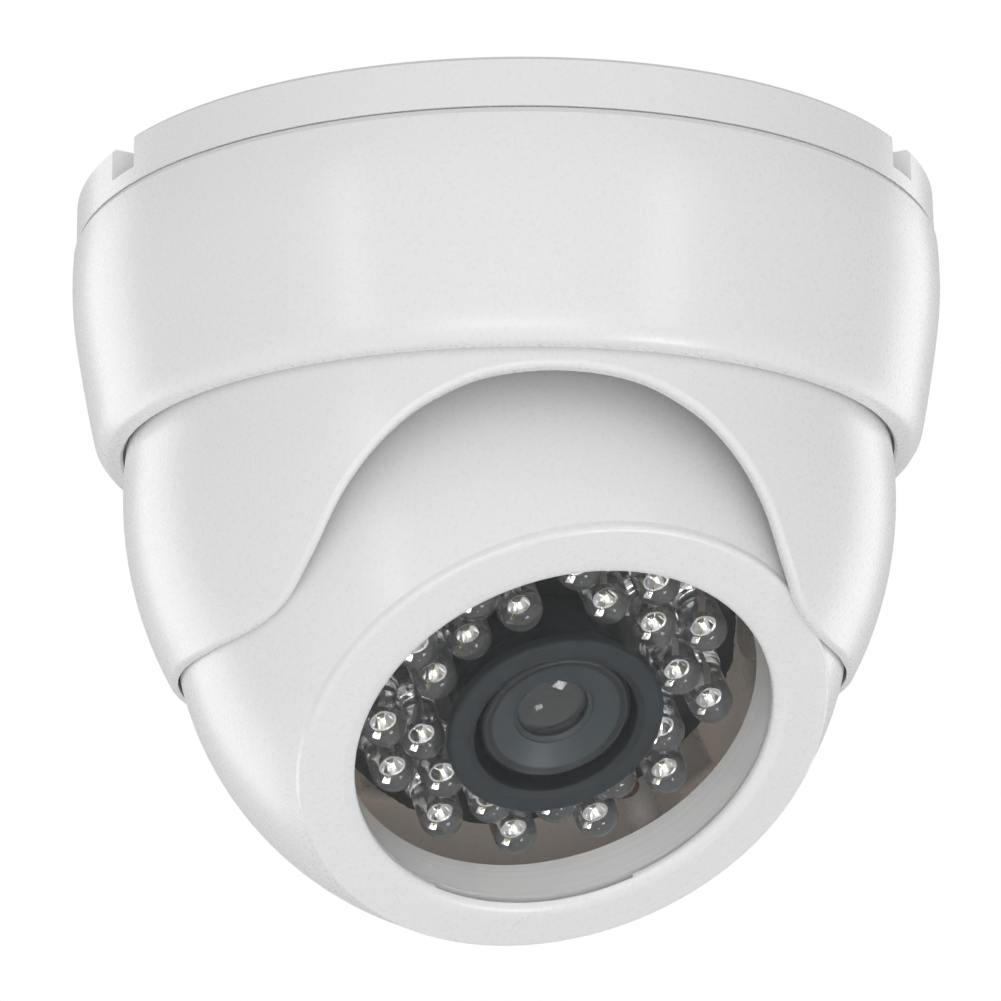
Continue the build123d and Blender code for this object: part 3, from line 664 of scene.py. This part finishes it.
piece("lamp_bodies", bodies, EYE, "eye", finishes["clear_epoxy"], ["led_lamps"], 50.0)
piece("lamp_lead_frames", silver, EYE, "eye", lamp_silver, [], 40.0)
piece("lamp_bond_wires", gold, EYE, "eye", lamp_gold)
piece("lamp_dies", dies, EYE, "eye", lamp_die)

# ---- Lamp board with its uneven snapped edge ----------------------------------------------------
board_low, board_high = span("ir_board")
board_r = 22.2
board_hole_r = 7.7
edge_steps = 720
edge_in = 0.35  # how far the mean snapped edge lies inside the board's outline
outer_edge, inner_edge = [], []
for i in range(edge_steps):
    a = math.tau * i / edge_steps
    bite = noise.noise(Vector((math.cos(a) * 9, math.sin(a) * 9, 0.3)))
    chips = noise.noise(Vector((math.cos(a) * 38, math.sin(a) * 38, 2.1)))
    r = board_r - edge_in + 0.28 * bite + 0.16 * chips
    outer_edge.append((r * math.cos(a), r * math.sin(a)))
    inner_edge.append((board_hole_r * math.cos(a), board_hole_r * math.sin(a)))
board_rings = (
    (outer_edge, board_low),
    (outer_edge, board_high),
    (inner_edge, board_high),
    (inner_edge, board_low),
)
verts = [(x, y, h) for ring, h in board_rings for x, y in ring]
faces = []
for k in range(4):
    here, there = k * edge_steps, (k + 1) % 4 * edge_steps
    for i in range(edge_steps):
        j = (i + 1) % edge_steps
        faces.append((here + i, here + j, there + j, there + i))
board = Shape().add(verts, faces)
piece("lamp_board_panel", board, EYE, "eye", finishes["lamp_board"], ["ir_board"], 40.0)

# ---- Lens barrel, glass and hood -----------------------------------------------------------------
barrel_low, rim_h = span("lens_barrel")
head_r = outer_radius("lens_barrel")
thread_r = 6.0
lip_r = 6.75
cone_low_r = 4.28
bore_r = 4.4
glass_r = 3.7
seat_r = glass_r + 0.04
stop_r = 1.15
head_low = rim_h - 2.4
face_h = rim_h - 0.35
face_corners = [
    (thread_r, barrel_low, 0.2),
    (thread_r, head_low, 0.1),
    (head_r, head_low, 0.1),
    (head_r, rim_h - 0.2, 0.45),
    (head_r - 0.62, rim_h, 0.4),
    (lip_r, face_h, 0.12),
    (cone_low_r, rim_h - 1.34, 0.06),
    (cone_low_r - 0.1, rim_h - 1.50, 0.05),
    (seat_r, rim_h - 1.74, 0.08),
    (seat_r, rim_h - 2.3, 0.05),
    (bore_r, rim_h - 2.3, 0.0),
    (bore_r, rim_h - 5.8, 0.0),
    (stop_r, rim_h - 6.4, 0.05),
    (stop_r, rim_h - 7.2, 0.05),
    (bore_r, rim_h - 7.6, 0.0),
    (bore_r, barrel_low, 0.2),
]
barrel = Shape().add(*lathe(rounded(face_corners, 5), 256))
piece("lens_barrel_turned", barrel, EYE, "lens", finishes["lens_body"], ["lens_barrel"], 30.0)

# Blackened rings stepping down to the stop behind the front glass.
glass_top = rim_h - 1.5
ring_steps = [
    (glass_r - 0.02, glass_top - 1.5, 0.0),
    (3.15, glass_top - 1.55, 0.12),
    (3.05, glass_top - 2.1, 0.06),
    (2.2, glass_top - 2.2, 0.12),
    (2.1, glass_top - 2.8, 0.06),
    (1.42, glass_top - 2.95, 0.1),
    (1.2, glass_top - 3.5, 0.05),
    (glass_r - 0.02, glass_top - 3.6, 0.0),
]
steps = Shape().add(*lathe(rounded(ring_steps, 4), 192))
piece("lens_retaining_rings", steps, EYE, "lens", lens_black, [], 30.0)

cap = [(glass_r * t, glass_top - 0.50 * t * t - 0.16 * t ** 4) for t in np.linspace(0, 1, 28)]
cap += [(glass_r, glass_top - 1.05), (3.2, glass_top - 1.12)]
cap += [(3.0 * t, glass_top - 1.3 + 0.12 * t * t) for t in np.linspace(1, 0, 12)]
front_glass = Shape().add(*lathe(cap, 160, closed=False))
glass = finishes["lens_glass"]
piece("lens_front_element", front_glass, EYE, "lens", glass, ["lens_front_glass"], 40.0)

bead_r = 1.9
bead = [(bead_r * t, glass_top - 2.35 - 0.75 * t * t) for t in np.linspace(0, 1, 20)]
bead += [(bead_r, glass_top - 3.3), (0.0, glass_top - 3.35)]
second_glass = Shape().add(*lathe(bead, 96, closed=False))
piece("lens_second_element", second_glass, EYE, "lens", glass, [], 40.0)

hood_low, hood_front = span("lens_hood")
hood_r = outer_radius("lens_hood")
hood_side = -0.45  # the flange sits a little off the lens axis
hole_r = 8.6
undercut_r = 9.05
sleeve_r = 9.6
sleeve_in_r = 7.2
flange_back = hood_front - 1.6
hood_corners = [
    (undercut_r, hood_front - 5.0, 0.1),
    (sleeve_r, hood_front - 5.0, 0.2),
    (sleeve_r, flange_back, 0.3),
    (hood_r - 0.35, flange_back, 0.2),
    (hood_r, hood_front - 1.3, 0.2),
    (hood_r, hood_front, 0.55),
    (9.4, hood_front, 0.2),
    (8.68, hood_front - 0.34, 0.12),
    (hole_r, hood_front - 0.65, 0.1),
    (undercut_r, hood_front - 0.95, 0.1),
]
hood = Shape().add(*lathe(rounded(hood_corners, 6), 256), at=(hood_side, 0, 0))
sleeve_corners = [
    (sleeve_in_r, hood_low, 0.1),
    (sleeve_r, hood_low, 0.3),
    (sleeve_r, hood_front - 4.9, 0.1),
    (8.3, hood_front - 4.9, 0.1),
    (sleeve_in_r, hood_front - 5.4, 0.1),
]
hood.add(*lathe(rounded(sleeve_corners, 4), 192))
piece("lens_hood_moulded", hood, EYE, "eye", finishes["hood_rubber"], ["lens_hood"], 40.0)

# ---- Surroundings: floor, light, camera ------------------------------------------------------------
floor_z = -0.6
floor_half = 4
floor_corners = [(x * floor_half, y * floor_half, floor_z) for x, y in ((-1, -1), (1, -1), (1, 1), (-1, 1))]
floor_mesh = bpy.data.meshes.new("floor")
floor_mesh.from_pydata(floor_corners, [], [(0, 1, 2, 3)])
floor = bpy.data.objects.new("floor", floor_mesh)
bpy.context.scene.collection.objects.link(floor)
floor_finish = Finish("floor_paint")
two_tone(floor_finish, 1.5, (0.86, 0.86, 0.86), (0.90, 0.90, 0.90))
floor_finish.roughness(floor_finish.between(floor_finish.noise(6.0), 0.6, 0.8))
floor_mesh.materials.append(floor_finish.material)

world = bpy.data.worlds.new("studio")
bpy.context.scene.world = world
world.use_nodes = True
sky = world.node_tree.nodes["Background"]
sky.inputs["Color"].default_value = (1, 1, 1, 1)
sky.inputs["Strength"].default_value = 0.505
paper = world.node_tree.nodes.new("ShaderNodeBackground")
paper.inputs["Color"].default_value = (1, 1, 1, 1)
paper.inputs["Strength"].default_value = 1.0
seen = world.node_tree.nodes.new("ShaderNodeLightPath")
either = world.node_tree.nodes.new("ShaderNodeMixShader")
world.node_tree.links.new(seen.outputs["Is Camera Ray"], either.inputs["Fac"])
world.node_tree.links.new(sky.outputs["Background"], either.inputs[1])
world.node_tree.links.new(paper.outputs["Background"], either.inputs[2])
world.node_tree.links.new(either.outputs["Shader"], world.node_tree.nodes["World Output"].inputs["Surface"])


def soft_light(name, centre, target, size, watts):
    lamp = bpy.data.lights.new(name, "AREA")
    lamp.shape = "RECTANGLE"
    lamp.size, lamp.size_y = size
    lamp.energy = watts
    obj = bpy.data.objects.new(name, lamp)
    obj.location = centre
    obj.rotation_mode = "QUATERNION"
    obj.rotation_quaternion = (Vector(target) - Vector(centre)).to_track_quat("-Z", "Y")
    bpy.context.scene.collection.objects.link(obj)
    return obj


middle = (cad_low + cad_high) / 2
for name, spot, size, watts in (
    ("front", (0.02, -1.35, -0.05), (1.9, 1.3), 3.5),
    ("front_low", (-0.02, -0.74, -0.41), (0.55, 0.42), 1.95),
    ("below", (0.16, -0.70, -0.98), (1.1, 0.8), 12.0),
    ("side_left", (-0.95, 0.75, -0.20), (0.6, 1.5), 5.9),
    ("side_right", (0.95, 0.75, -0.15), (0.5, 1.3), 4.2),
):
    soft_light(name, spot, middle, size, watts)

# Small lamps that only add highlights.
for name, spot, size, watts in (
    ("box_left", (-0.55, -0.62, -0.02), (0.07, 0.45), 0.5),
    ("box_right", (0.52, -0.66, -0.02), (0.07, 0.45), 0.5),
    ("lens_glint", (0.24, -0.19, -0.39), (0.10, 0.10), 0.28),
    ("pupil_left", (0.082, -0.020, -0.480), (0.05, 0.05), 0.04),
):
    glow = soft_light(name, spot, ball_centre, size, watts)
    glow.visible_diffuse = False

# A dark flag below keeps the window free of glare; only reflections see it.
flag_r = 0.10
flag_sides = 32
flag_way = Vector((0.3645, 0.0629, -0.9291)) * 0.28
flag_at = ball_centre + look_dir * 21 * MM + flag_way
flag_edge = [
    tuple(flag_at + Vector((flag_r * math.cos(a), flag_r * math.sin(a), 0)))
    for a in np.linspace(0, math.tau, flag_sides + 1)[:-1]
]
flag_mesh = bpy.data.meshes.new("flag")
flag_mesh.from_pydata(flag_edge, [], [tuple(range(flag_sides))])
flag = bpy.data.objects.new("flag", flag_mesh)
bpy.context.scene.collection.objects.link(flag)
flag.visible_camera = False
flag.visible_diffuse = False
flag.visible_transmission = False
flag.visible_shadow = False
flag_finish = Finish("flag_cloth", Roughness=0.9)
two_tone(flag_finish, 20.0, (0.01, 0.01, 0.01), (0.02, 0.02, 0.02))
flag_mesh.materials.append(flag_finish.material)

# The camera stands in front of and below the part; angles in degrees, lengths in metres.
view_turn, view_rise, view_roll = (math.radians(v) for v in (-2.4, -15.39, -0.86))
view_distance = 0.400
view_shift = (-0.49 * MM, -30.99 * MM)
back = Vector(
    (
        math.sin(view_turn) * math.cos(view_rise),
        -math.cos(view_turn) * math.cos(view_rise),
        math.sin(view_rise),
    )
)
right = (-back).cross(Vector((0, 0, 1))).normalized()
up = right.cross(-back)
level_right = right * math.cos(view_roll) + up * math.sin(view_roll)
level_up = up * math.cos(view_roll) - right * math.sin(view_roll)
camera_at = level_right * view_shift[0] + level_up * view_shift[1] + back * view_distance
camera_turn = Matrix((level_right, level_up, back)).transposed().to_4x4()
camera_data = bpy.data.cameras.new("camera")
camera_data.sensor_width = 36.0
camera_data.lens = 131.16
camera_data.clip_start = 0.01
camera_data.clip_end = 50
camera = bpy.data.objects.new("camera", camera_data)
camera.matrix_world = Matrix.Translation(camera_at) @ camera_turn
bpy.context.scene.collection.objects.link(camera)
bpy.context.scene.camera = camera

look = bpy.context.scene.view_settings
look.view_transform = "Standard"
look.look = "None"
